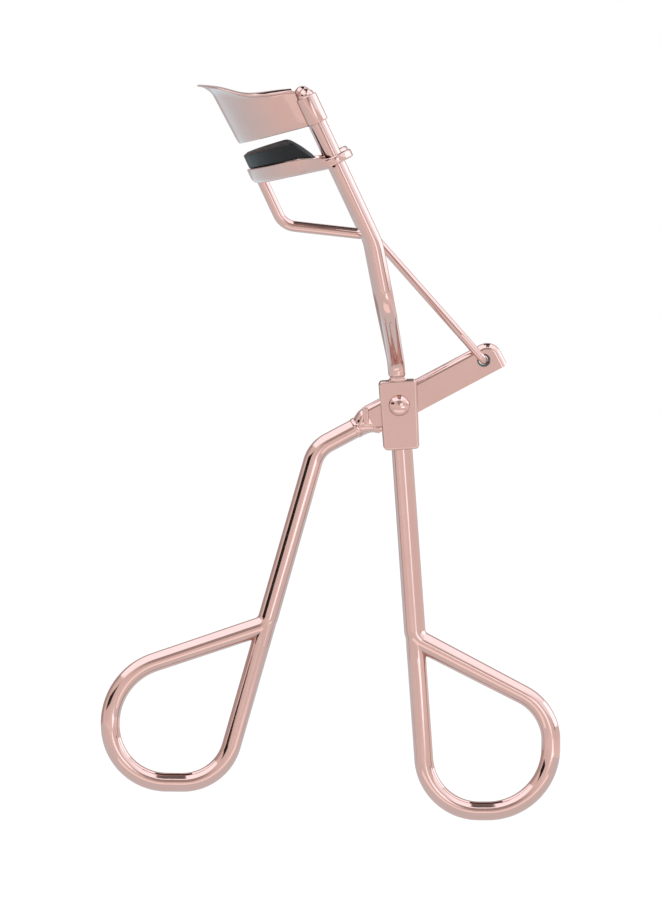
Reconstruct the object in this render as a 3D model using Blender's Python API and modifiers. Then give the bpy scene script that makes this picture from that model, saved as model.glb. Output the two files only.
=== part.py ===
"""Eyelash curler of bent wire and pressed sheet, with a silicone pad.

The rivet of the lever is at the origin, its axis along Y. The handles and the lever lie in the XZ plane,
and the two guide rods stand on either side of it.
"""

import math

import bmesh
import bpy
from mathutils import Matrix, Vector

MM = 0.001

# Clearances between neighbouring pieces
SEAT_GAP = 0.15 * MM
PIVOT_PLAY = 0.1 * MM
SIDE_PLAY = 0.3 * MM
EAR_PLAY = 0.4 * MM

# Lever: a folded channel that turns on the rivet
LEVER_RISE = math.radians(28)
LEVER_WIDTH = 4.35 * MM
LEVER_DEPTH = 3.0 * MM
LEVER_SHEET = 0.6 * MM
LEVER_FOLD = 1.05 * MM
LEVER_CORNER = 0.4 * MM
LEVER_NOSE = 2.75 * MM
LEVER_NOSE_CORNER = 2.0 * MM
LEVER_HEEL = 4.6 * MM
LEVER_HEEL_WALL = 0.6 * MM
HOOK_REACH = 13.8 * MM
CRIMP_LENGTH = 2.7 * MM
CRIMP_WALL = 0.45 * MM
CRIMP_TAPER = 0.9

# Bracket: two plates either side of the lever
BRACKET_WIDTH = 5.45 * MM
BRACKET_RISE = 3.45 * MM
BRACKET_DROP = 6.4 * MM
BRACKET_SHEET = 0.8 * MM
BRACKET_CORNER = 0.5 * MM
BRACKET_EDGE = 0.3 * MM
NECK_HEIGHT = 0.65 * MM
NECK_BASE = 2.7 * MM
NECK_RADIUS = 0.8 * MM
PEG_LENGTH = 1.3 * MM

# Rivet
RIVET_RADIUS = 1.0 * MM
RIVET_HEAD_RADIUS = 1.52 * MM
RIVET_HEAD_HEIGHT = 0.8 * MM
RIVET_TAIL_RADIUS = 1.35 * MM
RIVET_TAIL_HEIGHT = 0.6 * MM

# Guide rods, from the bracket up
ROD_RADIUS = 1.2 * MM
ROD_HALF_SPACING = 15.0 * MM
ROD_FOOT = 2.0 * MM
ROD_FOOT_BEND = 3.0 * MM
ROD_LOWER_LEAN = math.radians(12.6)
ROD_LOWER_RUN = 19.9 * MM
ROD_SPREAD_RUN = 8.0 * MM
ROD_SPREAD_BEND = 5.0 * MM
ROD_BEND = 9.0 * MM
ROD_BEND_RUN = -2.4 * MM
ROD_UPPER_LEAN = math.radians(25.1)
ROD_UPPER_RUN = 21.0 * MM

# Jaws: each is a half oval seen from above, tilted against the rods
JAW_TILT = math.radians(13)
JAW_SHEET = 0.6 * MM
JAW_SPREAD = math.radians(83)
UPPER_EDGE_REACH = 11.4 * MM
UPPER_EDGE_TILT = math.radians(14.8)
UPPER_TOP_REACH = 12.8 * MM
UPPER_TOP_TILT = math.radians(0)
LIP_REACH = 2.1 * MM
LIP_RISE = 1.3 * MM
SLEEVE_WALL = 0.45 * MM
SLEEVE_LENGTH = 4.0 * MM

# Moving jaw and its pad, measured from the plane through its ears
EAR_RUN = 11.6 * MM
EAR_WALL = 1.1 * MM
EAR_INSET = 0.05 * MM
HOLDER_REACH = 12.3 * MM
HOLDER_THICKNESS = 2.8 * MM
HOLDER_OVERHANG = 0.6 * MM
HOLDER_SPREAD = math.radians(86)
HOLDER_BOTTOM = -1.7 * MM
HOLDER_EDGE = 0.6 * MM
HOLDER_RIM_TOP = 0.6 * MM
HOLDER_RIM_END = 5.2 * MM
HOLDER_ARM_TOP = -0.25 * MM
HOLDER_ARM_START = 1.0 * MM
HOLDER_WALL = 0.6 * MM
GROOVE_DEPTH = 1.0 * MM
PAD_TOP = 3.35 * MM
PAD_SETBACK = 0.3 * MM
PAD_SPREAD = math.radians(77)
PAD_CROWN = 0.9 * MM
PAD_END_TOP = 5.6 * MM
PAD_END_FOOT = 3.2 * MM

# Link wire, from the moving jaw to the lever
LINK_RADIUS = 0.75 * MM
LINK_SOCKET_DEPTH = 0.9 * MM
LINK_DROP = 6.85 * MM
LINK_RUN = 13.0 * MM
LINK_RUN_DIP = math.radians(6.4)
LINK_BEND = 3.0 * MM
LINK_HOOK_BEND = 1.0 * MM
LINK_STANDOFF = 5.0 * MM
LINK_PIN_TAIL = 0.7 * MM
HOOK_PLAY = 0.15 * MM

# Handles and their finger loops
HANDLE_LEAN = math.radians(4.0)
FIXED_RADIUS = 1.5 * MM
FIXED_TOP = 3.8 * MM
FIXED_SHANK = 33.8 * MM
FIXED_SIDE = 24.9 * MM
FIXED_TOP_RUN = 22.05 * MM
FIXED_TOP_DIP = math.radians(27.5)
FIXED_OUTER_RUN = 14.7 * MM
FIXED_CORNERS = (7.5 * MM, 9.1 * MM, 8.0 * MM)
MOVING_RADIUS = 1.4 * MM
MOVING_ELBOW_REACH = 13.45 * MM
MOVING_ELBOW_BEND = 4.5 * MM
MOVING_LEAN = math.radians(16.0)
MOVING_SHANK = 26.4 * MM
MOVING_SIDE = 23.7 * MM
MOVING_TOP_RUN = 23.7 * MM
MOVING_TOP_DIP = math.radians(18.5)
MOVING_OUTER_RUN = 15.1 * MM
MOVING_CORNERS = (9.3 * MM, 8.2 * MM, 7.3 * MM)
LOOP_RADIUS = 1.38 * MM
LOOP_ROOT_BEND = 2.2 * MM
WELD_RUN = 3.0 * MM
WELD_TAPER = 0.8
WELD_BEAD = 1.01

# Facets
WIRE_SIDES = 14
ROUND_SIDES = 24
ARC_STEP = math.radians(12)
ARC_ROOM = 0.98
DOME_STEPS = 4
JAW_STEPS = 24
LIP_STEPS = 3
CROWN_STEPS = 3
SHARP = math.radians(60)
WELD = 0.001 * MM
CUT_MARGIN = 5.0 * MM

# Places worked out from the sizes above
PLATE_INNER = LEVER_DEPTH / 2 + SIDE_PLAY
PLATE_MIDDLE = PLATE_INNER + BRACKET_SHEET / 2
PLATE_OUTER = PLATE_INNER + BRACKET_SHEET
SIDE = Vector((0, 1, 0))
BRACKET_UP = Vector((-math.sin(HANDLE_LEAN), 0, math.cos(HANDLE_LEAN)))
LEVER_ALONG = Vector((math.cos(LEVER_RISE), 0, math.sin(LEVER_RISE)))
ROD_LOWER_UP = Vector((-math.sin(ROD_LOWER_LEAN), 0, math.cos(ROD_LOWER_LEAN)))
ROD_UP = Vector((-math.sin(ROD_UPPER_LEAN), 0, math.cos(ROD_UPPER_LEAN)))
NECK_TOP = BRACKET_RISE + NECK_HEIGHT
ROD_START = BRACKET_UP * (NECK_TOP + SEAT_GAP)
ROD_KNEE = ROD_START + BRACKET_UP * ROD_FOOT
ROD_CORNER = ROD_KNEE + ROD_LOWER_UP * ROD_LOWER_RUN
HOOK = LEVER_ALONG * HOOK_REACH
HOOK_SIDE = -(LEVER_DEPTH / 2 + SIDE_PLAY + LINK_RADIUS)

parts = bpy.data.collections.new("eyelash_curler")
cutters = bpy.data.collections.new("eyelash_curler_cutters")


def clear_scene():
    for obj in list(bpy.data.objects):
        bpy.data.objects.remove(obj)
    bpy.context.scene.collection.children.link(parts)
    bpy.context.scene.collection.children.link(cutters)


def material(name, colour, roughness, metallic):
    made = bpy.data.materials.new(name)
    made.use_nodes = True
    shader = made.node_tree.nodes["Principled BSDF"]
    shader.inputs["Base Color"].default_value = (*colour, 1)
    shader.inputs["Roughness"].default_value = roughness
    shader.inputs["Metallic"].default_value = metallic
    return made


def axis_empty(name, place):
    """An empty on a joint's axis, for the pieces that turn about it."""
    empty = bpy.data.objects.new(name, None)
    empty.empty_display_size = RIVET_HEAD_RADIUS
    empty.location = place
    parts.objects.link(empty)
    bpy.context.view_layer.update()
    return empty


def carry(empty, *pieces):
    for piece in pieces:
        piece.parent = empty
        piece.matrix_parent_inverse = empty.matrix_world.inverted()


def finish(obj, look):
    obj.data.materials.clear()
    obj.data.materials.append(look)
    if obj.type == "MESH":
        obj.data.shade_smooth()
        obj.data.set_sharp_from_angle(angle=math.radians(35))
    return obj


def new_object(name, mesh, placed=None):
    obj = bpy.data.objects.new(name, mesh)
    obj.matrix_world = placed or Matrix()
    parts.objects.link(obj)
    return obj


def as_mesh(obj):
    """A curve object made a mesh, with its caps welded on, so that it can be cut or joined."""
    bpy.context.view_layer.update()
    graph = bpy.context.evaluated_depsgraph_get()
    mesh = bpy.data.meshes.new_from_object(obj.evaluated_get(graph))
    shape = bmesh.new()
    shape.from_mesh(mesh)
    bmesh.ops.remove_doubles(shape, verts=shape.verts, dist=WELD)
    bmesh.ops.recalc_face_normals(shape, faces=shape.faces)
    shape.to_mesh(mesh)
    shape.free()
    name, placed = obj.name, obj.matrix_world.copy()
    bpy.data.objects.remove(obj)
    return new_object(name, mesh, placed)


def boolean(obj, operation, other):
    """Joins or cuts with another object, which becomes a hidden helper."""
    modifier = obj.modifiers.new(other.name, "BOOLEAN")
    modifier.operation = operation
    modifier.object = other
    for collection in list(other.users_collection):
        collection.objects.unlink(other)
    cutters.objects.link(other)
    other.hide_render = True
    other.display_type = "WIRE"


def rounded(corners, bends):
    """The path through these corners, each turned into an arc of its own bend radius, 0 for an end.

    Where two arcs don't both fit on the run between their corners, they shrink together.
    """
    count = len(corners)
    runs = [corners[(index + 1) % count] - corners[index] for index in range(count)]
    turns = [runs[index - 1].angle(runs[index]) for index in range(count)]
    reaches = [bend * math.tan(turn / 2) for bend, turn in zip(bends, turns)]
    room = []
    for index, run in enumerate(runs):
        wanted = reaches[index] + reaches[(index + 1) % count]
        room.append(min(1, ARC_ROOM * run.length / wanted) if wanted else 1)
    path = []
    for index, (corner, turn) in enumerate(zip(corners, turns)):
        bend = bends[index] * min(room[index - 1], room[index])
        if not bend:
            path.append(corner)
            continue
        before = -runs[index - 1].normalized()
        after = runs[index].normalized()
        centre = corner + (before + after).normalized() * bend / math.cos(turn / 2)
        start = corner + before * bend * math.tan(turn / 2) - centre
        axis = after.cross(before)
        steps = max(2, math.ceil(turn / ARC_STEP))
        for step in range(steps + 1):
            path.append(centre + Matrix.Rotation(turn * step / steps, 3, axis) @ start)
    return path


def wire(name, path, radius, shares=None):
    """A round wire along a path. shares are the radius at each point, as shares of the wire's own."""
    curve = bpy.data.curves.new(name, "CURVE")
    curve.dimensions = "3D"
    curve.bevel_depth = radius
    curve.bevel_resolution = (WIRE_SIDES - 4) // 2
    curve.use_fill_caps = True
    spline = curve.splines.new("POLY")
    spline.points.add(len(path) - 1)
    for index, (spot, point) in enumerate(zip(spline.points, path)):
        spot.co = (*point, 1)
        spot.radius = shares[index] if shares else 1
    obj = bpy.data.objects.new(name, curve)
    parts.objects.link(obj)
    return obj


def plate(name, outline, thickness, placed):
    """A flat outline in its own XY plane, thickened evenly both ways."""
    curve = bpy.data.curves.new(name, "CURVE")
    curve.dimensions = "2D"
    curve.fill_mode = "BOTH"
    curve.extrude = thickness / 2
    spline = curve.splines.new("POLY")
    spline.points.add(len(outline) - 1)
    spline.use_cyclic_u = True
    for spot, point in zip(spline.points, outline):
        spot.co = (point[0], point[1], 0, 1)
    obj = bpy.data.objects.new(name, curve)
    obj.matrix_world = placed
    parts.objects.link(obj)
    return as_mesh(obj)


def cylinder(name, start, end, radius, end_radius=None):
    """A round bar between two points, or a cone where the end has a radius of its own."""
    along = end - start
    shape = bmesh.new()
    bmesh.ops.create_cone(
        shape,
        cap_ends=True,
        segments=ROUND_SIDES,
        radius1=radius,
        radius2=end_radius or radius,
        depth=along.length,
    )
    mesh = bpy.data.meshes.new(name)
    shape.to_mesh(mesh)
    shape.free()
    turn = along.to_track_quat("Z", "Y").to_matrix().to_4x4()
    return new_object(name, mesh, Matrix.Translation((start + end) / 2) @ turn)


def upright(turn, side=0.0):
    """The frame of an outline drawn in the XZ plane, turned about the rivet and moved along Y."""
    stand = Matrix.Rotation(math.pi / 2, 4, "X")
    return Matrix.Translation(SIDE * side) @ Matrix.Rotation(-turn, 4, "Y") @ stand


def soften(obj, width, chosen):
    """Rounds those sharp edges of a piece that chosen picks by their two ends."""
    shape = bmesh.new()
    shape.from_mesh(obj.data)
    edges = [
        edge
        for edge in shape.edges
        if edge.calc_face_angle() > SHARP and chosen(edge.verts[0].co, edge.verts[1].co)
    ]
    bmesh.ops.bevel(
        shape,
        geom=edges,
        offset=width,
        offset_type="OFFSET",
        affect="EDGES",
        segments=CROWN_STEPS,
        profile=0.5,
        material=-1,
    )
    shape.to_mesh(obj.data)
    shape.free()


def flat(*pairs):
    return [Vector((x, y, 0)) for x, y in pairs]


def rod_point(run, side=0.0):
    """A point on the straight upper part of a rod, or midway between the rods."""
    return ROD_CORNER + ROD_UP * run + SIDE * side


def dome(end, along, radius):
    """Points and radius shares that round off the end of a wire."""
    turns = [math.pi / 2 * step / DOME_STEPS for step in range(1, DOME_STEPS)]
    spots = [end + along * radius * math.sin(turn) for turn in turns]
    return spots, [math.cos(turn) for turn in turns]


def guide_rod(name, side):
    """Up from its neck on the bracket, out to the rods' spacing, then parallel to the other, with one bend."""
    foot = SIDE * math.copysign(PLATE_MIDDLE, side)
    rise = (rod_point(ROD_BEND_RUN) - ROD_KNEE).normalized()
    spread = ROD_KNEE + rise * ROD_SPREAD_RUN + SIDE * side
    bend, top = rod_point(ROD_BEND_RUN, side), rod_point(ROD_UPPER_RUN, side)
    corners = [ROD_START + foot, ROD_KNEE + foot, spread, bend, top]
    path = rounded(corners, [0, ROD_FOOT_BEND, ROD_SPREAD_BEND, ROD_BEND, 0])
    spots, shares = dome(corners[-1], ROD_UP, ROD_RADIUS)
    rod = as_mesh(wire(name, path + spots, ROD_RADIUS, shares=[1] * len(path) + shares))
    socket_end = corners[0] + BRACKET_UP * (PEG_LENGTH + SEAT_GAP)
    socket = cylinder(f"{name}_socket", corners[0] - BRACKET_UP * SEAT_GAP, socket_end, NECK_RADIUS + PIVOT_PLAY)
    boolean(rod, "DIFFERENCE", socket)
    return rod


def bracket_plate(name, side):
    """A plate with a waisted neck, whose round peg enters the foot of its guide rod."""
    half = BRACKET_WIDTH / 2
    outline = rounded(
        flat(
            (-half, -BRACKET_DROP),
            (half, -BRACKET_DROP),
            (half, BRACKET_RISE),
            (NECK_BASE / 2, BRACKET_RISE),
            (NECK_RADIUS, NECK_TOP),
            (-NECK_RADIUS, NECK_TOP),
            (-NECK_BASE / 2, BRACKET_RISE),
            (-half, BRACKET_RISE),
        ),
        [BRACKET_CORNER, BRACKET_CORNER, BRACKET_CORNER, 0, 0, 0, 0, BRACKET_CORNER],
    )
    middle = math.copysign(PLATE_MIDDLE, side)
    made = plate(name, outline, BRACKET_SHEET, upright(HANDLE_LEAN, middle))
    outer = math.copysign(BRACKET_SHEET / 2, -side)
    soften(made, BRACKET_EDGE, lambda a, b: abs(a.z - outer) < WELD and abs(b.z - outer) < WELD)
    peg_foot = BRACKET_UP * BRACKET_RISE + SIDE * middle
    peg_top = BRACKET_UP * (NECK_TOP + PEG_LENGTH) + SIDE * middle
    boolean(made, "UNION", cylinder(f"{name}_peg", peg_foot, peg_top, NECK_RADIUS))
    boolean(made, "DIFFERENCE", rivet_hole(f"{name}_hole"))
    return made


def rivet_hole(name):
    reach = SIDE * (PLATE_OUTER + CUT_MARGIN)
    return cylinder(name, -reach, reach, RIVET_RADIUS + PIVOT_PLAY)


def pivot_rivet():
    """Turned about its own axis: a domed head towards -Y, a shank and a clenched tail."""
    seat = PLATE_OUTER + SEAT_GAP
    turns = [math.pi / 2 * step / DOME_STEPS for step in range(DOME_STEPS + 1)]
    head = [
        (RIVET_HEAD_RADIUS * math.sin(turn), seat + RIVET_HEAD_HEIGHT * math.cos(turn))
        for turn in turns
    ]
    tail = [
        (RIVET_TAIL_RADIUS * math.cos(turn), -seat - RIVET_TAIL_HEIGHT * math.sin(turn))
        for turn in turns
    ]
    profile = head + [(RIVET_RADIUS, seat), (RIVET_RADIUS, -seat)] + tail
    shape = bmesh.new()
    spots = [shape.verts.new((max(x, 0), 0, z)) for x, z in profile]
    for first, second in zip(spots, spots[1:]):
        shape.edges.new((first, second))
    mesh = bpy.data.meshes.new("pivot_rivet")
    shape.to_mesh(mesh)
    shape.free()
    made = new_object("pivot_rivet", mesh, Matrix.Rotation(math.pi / 2, 4, "X"))
    screw = made.modifiers.new("turned", "SCREW")
    screw.steps = screw.render_steps = ROUND_SIDES
    screw.use_merge_vertices = True
    screw.merge_threshold = WELD
    return made


def handle(name, shank, bends, radius, side_along, side_run, top_along, top_run, outer_run, loop_bends):
    """A wire bent at the foot of its shank into a finger loop, whose end is welded to that bend."""
    root = shank[-1]
    shoulder = root + top_along * top_run
    low_corner = shoulder - Vector((0, 0, outer_run))
    foot = root + side_along * side_run
    end = root + side_along * WELD_RUN
    path = rounded([*shank, shoulder, low_corner, foot, end], [*bends, LOOP_ROOT_BEND, *loop_bends, 0])
    reach = (root - shank[0]).length
    shares = [1 + (LOOP_RADIUS / radius - 1) * min(1, (spot - shank[0]).length / reach) for spot in path]
    made = as_mesh(wire(name, path, radius, shares=shares))
    weld = [root + side_along * WELD_RUN * step for step in (2, 1, -0.5, -1)]
    tips = [WELD_TAPER, 1, 1, WELD_TAPER]
    boolean(made, "UNION", as_mesh(wire(f"{name}_weld", weld, LOOP_RADIUS * WELD_BEAD, shares=tips)))
    return made


def fixed_handle():
    down = -BRACKET_UP
    top_along = Vector((math.cos(FIXED_TOP_DIP), 0, -math.sin(FIXED_TOP_DIP)))
    return handle(
        "fixed_handle",
        [down * FIXED_TOP, down * FIXED_SHANK],
        [0],
        FIXED_RADIUS,
        down,
        FIXED_SIDE,
        top_along,
        FIXED_TOP_RUN,
        FIXED_OUTER_RUN,
        FIXED_CORNERS,
    )


def moving_handle():
    down = Vector((-math.sin(MOVING_LEAN), 0, -math.cos(MOVING_LEAN)))
    start = -LEVER_ALONG * (LEVER_HEEL + SEAT_GAP)
    elbow = -LEVER_ALONG * MOVING_ELBOW_REACH
    top_along = Vector((-math.cos(MOVING_TOP_DIP), 0, -math.sin(MOVING_TOP_DIP)))
    return handle(
        "moving_handle",
        [start, elbow, elbow + down * MOVING_SHANK],
        [0, MOVING_ELBOW_BEND],
        MOVING_RADIUS,
        down,
        MOVING_SIDE,
        top_along,
        MOVING_TOP_RUN,
        MOVING_OUTER_RUN,
        MOVING_CORNERS,
    )


def lever_arm():
    """A channel open below, closed at its nose, with a tube at its heel crimped on the handle's wire."""
    half = LEVER_WIDTH / 2
    nose = HOOK_REACH + LEVER_NOSE
    heel = -LEVER_HEEL
    outline = rounded(
        flat((heel, -half), (nose, -half), (nose, half), (heel, half)),
        [LEVER_CORNER, LEVER_CORNER, LEVER_NOSE_CORNER, LEVER_CORNER],
    )
    made = plate("lever_arm", outline, LEVER_DEPTH, upright(LEVER_RISE))
    folded = half - LEVER_NOSE_CORNER
    soften(made, LEVER_FOLD, lambda a, b: min(a.y, b.y) > folded and abs(a.z - b.z) < WELD)
    crimp_end = LEVER_ALONG * (heel - CRIMP_LENGTH)
    crimp_radius = MOVING_RADIUS + PIVOT_PLAY + CRIMP_WALL
    crimp_start = LEVER_ALONG * (heel + LEVER_HEEL_WALL / 2)
    crimp = cylinder("lever_arm_crimp", crimp_start, crimp_end, crimp_radius, crimp_radius * CRIMP_TAPER)
    boolean(made, "UNION", crimp)
    inside = nose - LEVER_SHEET
    pocket = flat(
        (heel + LEVER_HEEL_WALL, -half - CUT_MARGIN),
        (inside, -half - CUT_MARGIN),
        (inside, half - LEVER_SHEET),
        (heel + LEVER_HEEL_WALL, half - LEVER_SHEET),
    )
    pocket = rounded(pocket, [0, 0, LEVER_NOSE_CORNER - LEVER_SHEET, 0])
    channel = plate("lever_arm_channel", pocket, LEVER_DEPTH - 2 * LEVER_SHEET, upright(LEVER_RISE))
    boolean(made, "DIFFERENCE", channel)
    bore_end = crimp_end - LEVER_ALONG * CUT_MARGIN
    boolean(
        made,
        "DIFFERENCE",
        cylinder("lever_arm_bore", LEVER_ALONG * heel, bore_end, MOVING_RADIUS + PIVOT_PLAY),
    )
    boolean(made, "DIFFERENCE", rivet_hole("lever_arm_rivet_hole"))
    reach = SIDE * (LEVER_DEPTH / 2 + CUT_MARGIN)
    hook_hole = cylinder("lever_arm_hook_hole", HOOK - reach, HOOK + reach, LINK_RADIUS + HOOK_PLAY)
    boolean(made, "DIFFERENCE", hook_hole)
    return made


def half_oval(reach, half, spread, steps=JAW_STEPS):
    """Points of half an oval round the front of the jaws, forward being -X."""
    turns = [spread * (2 * step / steps - 1) for step in range(steps + 1)]
    return [Vector((-reach * math.cos(turn), half * math.sin(turn), 0)) for turn in turns]


def upper_jaw():
    """A curved sheet, flared at its top into a lip, with a rolled sleeve on each rod."""
    low_forward = Vector((-math.cos(UPPER_EDGE_TILT), 0, -math.sin(UPPER_EDGE_TILT)))
    top_forward = Vector((-math.cos(UPPER_TOP_TILT), 0, -math.sin(UPPER_TOP_TILT)))
    low = ROD_UPPER_RUN - SLEEVE_LENGTH
    turns = [JAW_SPREAD * (2 * step / JAW_STEPS - 1) for step in range(JAW_STEPS + 1)]

    def spot(turn, lip):
        """On the top edge for a lip of 0, and out along the lip up to 1. None is the lower edge."""
        side = ROD_HALF_SPACING * math.sin(turn)
        ahead = math.cos(turn)
        if lip is None:
            return rod_point(low, side) + low_forward * UPPER_EDGE_REACH * ahead
        outward = top_forward * ahead + SIDE * math.sin(turn)
        flare = outward * LIP_REACH * lip**1.5 * ahead + ROD_UP * LIP_RISE * math.sin(lip * math.pi / 2) * ahead
        return rod_point(ROD_UPPER_RUN, side) + top_forward * UPPER_TOP_REACH * ahead + flare

    shape = bmesh.new()
    row = [shape.verts.new(spot(turn, None)) for turn in turns]
    edges = [shape.edges.new(pair) for pair in zip(row, row[1:])]
    for step in range(LIP_STEPS + 1):
        grown = bmesh.ops.extrude_edge_only(shape, edges=edges)["geom"]
        edges = [item for item in grown if isinstance(item, bmesh.types.BMEdge) and not item.link_faces[1:]]
        row = sorted((item for item in grown if isinstance(item, bmesh.types.BMVert)), key=lambda v: v.co.y)
        edges = [edge for edge in edges if all(end in row for end in edge.verts)]
        for end, turn in zip(row, turns):
            end.co = spot(turn, step / LIP_STEPS)
    bmesh.ops.recalc_face_normals(shape, faces=shape.faces)
    mesh = bpy.data.meshes.new("upper_jaw")
    shape.to_mesh(mesh)
    shape.free()
    made = new_object("upper_jaw", mesh)
    thick = made.modifiers.new("sheet", "SOLIDIFY")
    thick.thickness = JAW_SHEET
    thick.offset = 0
    bore = ROD_RADIUS + PIVOT_PLAY
    for name, side in (("near", -ROD_HALF_SPACING), ("far", ROD_HALF_SPACING)):
        bottom, top = rod_point(low, side), rod_point(ROD_UPPER_RUN, side)
        sleeve = cylinder(f"upper_jaw_sleeve_{name}", bottom, top, bore + SLEEVE_WALL)
        boolean(made, "UNION", sleeve)
    for name, side in (("near", -ROD_HALF_SPACING), ("far", ROD_HALF_SPACING)):
        boolean(made, "DIFFERENCE", rod_bore(f"upper_jaw_bore_{name}", ROD_UPPER_RUN, side, PIVOT_PLAY))
    return made


def rod_bore(name, run, side, play):
    """A cutter along a rod, past both faces of what it goes through."""
    reach = ROD_UP * (SLEEVE_LENGTH + CUT_MARGIN)
    spot = rod_point(run, side)
    return cylinder(name, spot - reach, spot + reach, ROD_RADIUS + play)


def jaw_frame():
    """The moving jaw's own frame: +X back towards the rods, +Z up, tilted with the jaws."""
    return Matrix.Translation(rod_point(EAR_RUN)) @ Matrix.Rotation(-JAW_TILT, 4, "Y")


def jaw_layer(name, outline, low, high):
    """An outline of the moving jaw between two heights, with its sides leaning as the rods do."""
    made = plate(name, outline, high - low, jaw_frame())
    lean = math.tan(ROD_UPPER_LEAN - JAW_TILT)
    raised = Matrix.Translation((0, 0, (low + high) / 2))
    slanted = Matrix(((1, 0, -lean, 0), (0, 1, 0, 0), (0, 0, 1, 0), (0, 0, 0, 1)))
    made.data.transform(slanted @ raised)
    return made


def jaw_profile(name, outline):
    """A cutter across the whole moving jaw, from an outline in the XZ plane of its frame."""
    across = 2 * (ROD_HALF_SPACING + CUT_MARGIN)
    return plate(name, outline, across, jaw_frame() @ Matrix.Rotation(math.pi / 2, 4, "X"))


def crescent(front, back, spread):
    """A band between two half ovals, each given by how far it is set in from the holder's outer face."""
    bands = []
    for inset in (front, back):
        half = ROD_HALF_SPACING + HOLDER_OVERHANG - inset
        bands.append(half_oval(HOLDER_REACH - inset, half, spread))
    return bands[0] + bands[1][::-1]


def groove_insets(play):
    return HOLDER_WALL + play, HOLDER_THICKNESS - HOLDER_WALL - play


def moving_jaw():
    """A curved channel for the pad, on arms that end in an ear round each rod."""
    band = crescent(0, HOLDER_THICKNESS, HOLDER_SPREAD)
    made = jaw_layer("moving_jaw", band, HOLDER_BOTTOM, HOLDER_RIM_TOP)
    soften(made, HOLDER_EDGE, lambda a, b: max(a.z, b.z) < HOLDER_BOTTOM + WELD)
    over = HOLDER_RIM_TOP + CUT_MARGIN
    above = flat(
        (-HOLDER_RIM_END, over),
        (-HOLDER_RIM_END, HOLDER_RIM_TOP),
        (-HOLDER_ARM_START, HOLDER_ARM_TOP),
        (CUT_MARGIN, HOLDER_ARM_TOP),
        (CUT_MARGIN, over),
    )
    above_arms = jaw_profile("moving_jaw_arm_top", above)
    boolean(made, "DIFFERENCE", above_arms)
    ear_radius = ROD_RADIUS + EAR_PLAY + EAR_WALL
    for name, side in (("near", -ROD_HALF_SPACING), ("far", ROD_HALF_SPACING)):
        turns = [2 * math.pi * step / ROUND_SIDES for step in range(ROUND_SIDES)]
        ring = flat(*((ear_radius * math.cos(t), side + ear_radius * math.sin(t)) for t in turns))
        ear = jaw_layer(f"moving_jaw_ear_{name}", ring, HOLDER_BOTTOM + EAR_INSET, HOLDER_ARM_TOP - EAR_INSET)
        boolean(made, "UNION", ear)
    for name, side in (("near", -ROD_HALF_SPACING), ("far", ROD_HALF_SPACING)):
        boolean(made, "DIFFERENCE", rod_bore(f"moving_jaw_bore_{name}", EAR_RUN, side, EAR_PLAY))
    groove = crescent(*groove_insets(0), PAD_SPREAD)
    floor = HOLDER_RIM_TOP - GROOVE_DEPTH
    boolean(made, "DIFFERENCE", jaw_layer("moving_jaw_groove", groove, floor, floor + CUT_MARGIN))
    top = link_top()
    boolean(
        made,
        "DIFFERENCE",
        cylinder("moving_jaw_socket", top - ROD_UP * CUT_MARGIN, top + ROD_UP * SEAT_GAP, LINK_RADIUS + SEAT_GAP),
    )
    return made


def lash_pad():
    """A strip with a foot in the channel and a crowned body over its rims."""
    body_low = HOLDER_RIM_TOP + SEAT_GAP
    band = crescent(PAD_SETBACK, HOLDER_THICKNESS - PAD_SETBACK, PAD_SPREAD - math.radians(2))
    made = jaw_layer("lash_pad", band, body_low, PAD_TOP)
    soften(made, PAD_CROWN, lambda a, b: min(a.z, b.z) > PAD_TOP - WELD)
    end = flat(
        (-PAD_END_TOP, PAD_TOP + CUT_MARGIN),
        (-PAD_END_TOP, PAD_TOP),
        (-PAD_END_FOOT, body_low),
        (CUT_MARGIN, body_low - CUT_MARGIN),
        (CUT_MARGIN, PAD_TOP + CUT_MARGIN),
    )
    boolean(made, "DIFFERENCE", jaw_profile("lash_pad_end", end))
    foot_band = crescent(*groove_insets(SEAT_GAP), PAD_SPREAD - math.radians(4))
    foot_low = HOLDER_RIM_TOP - GROOVE_DEPTH + SEAT_GAP
    boolean(made, "UNION", jaw_layer("lash_pad_foot", foot_band, foot_low, body_low + SEAT_GAP))
    return made


def link_top():
    """The top end of the link wire, in its socket under the middle of the moving jaw."""
    low = HOLDER_BOTTOM
    lean = math.tan(ROD_UPPER_LEAN - JAW_TILT)
    ahead = HOLDER_REACH - HOLDER_THICKNESS / 2 + low * lean
    mouth = jaw_frame() @ Vector((-ahead, 0, low))
    return mouth + ROD_UP * LINK_SOCKET_DEPTH


def link_wire():
    """Down from the moving jaw, back between the rods, and down beside the lever into its hole."""
    top = link_top()
    heel = top - ROD_UP * (LINK_DROP + LINK_SOCKET_DEPTH)
    waist = heel + Vector((math.cos(LINK_RUN_DIP), 0, -math.sin(LINK_RUN_DIP))) * LINK_RUN
    hook = HOOK + SIDE * HOOK_SIDE
    standoff = hook + (waist - HOOK).normalized() * LINK_STANDOFF
    pin_end = HOOK + SIDE * (LEVER_DEPTH / 2 + LINK_PIN_TAIL)
    corners = [top, heel, waist, standoff, hook, pin_end]
    path = rounded(corners, [0, LINK_BEND, LINK_BEND, LINK_BEND, LINK_HOOK_BEND, 0])
    return wire("link_wire", path, LINK_RADIUS)


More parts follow.
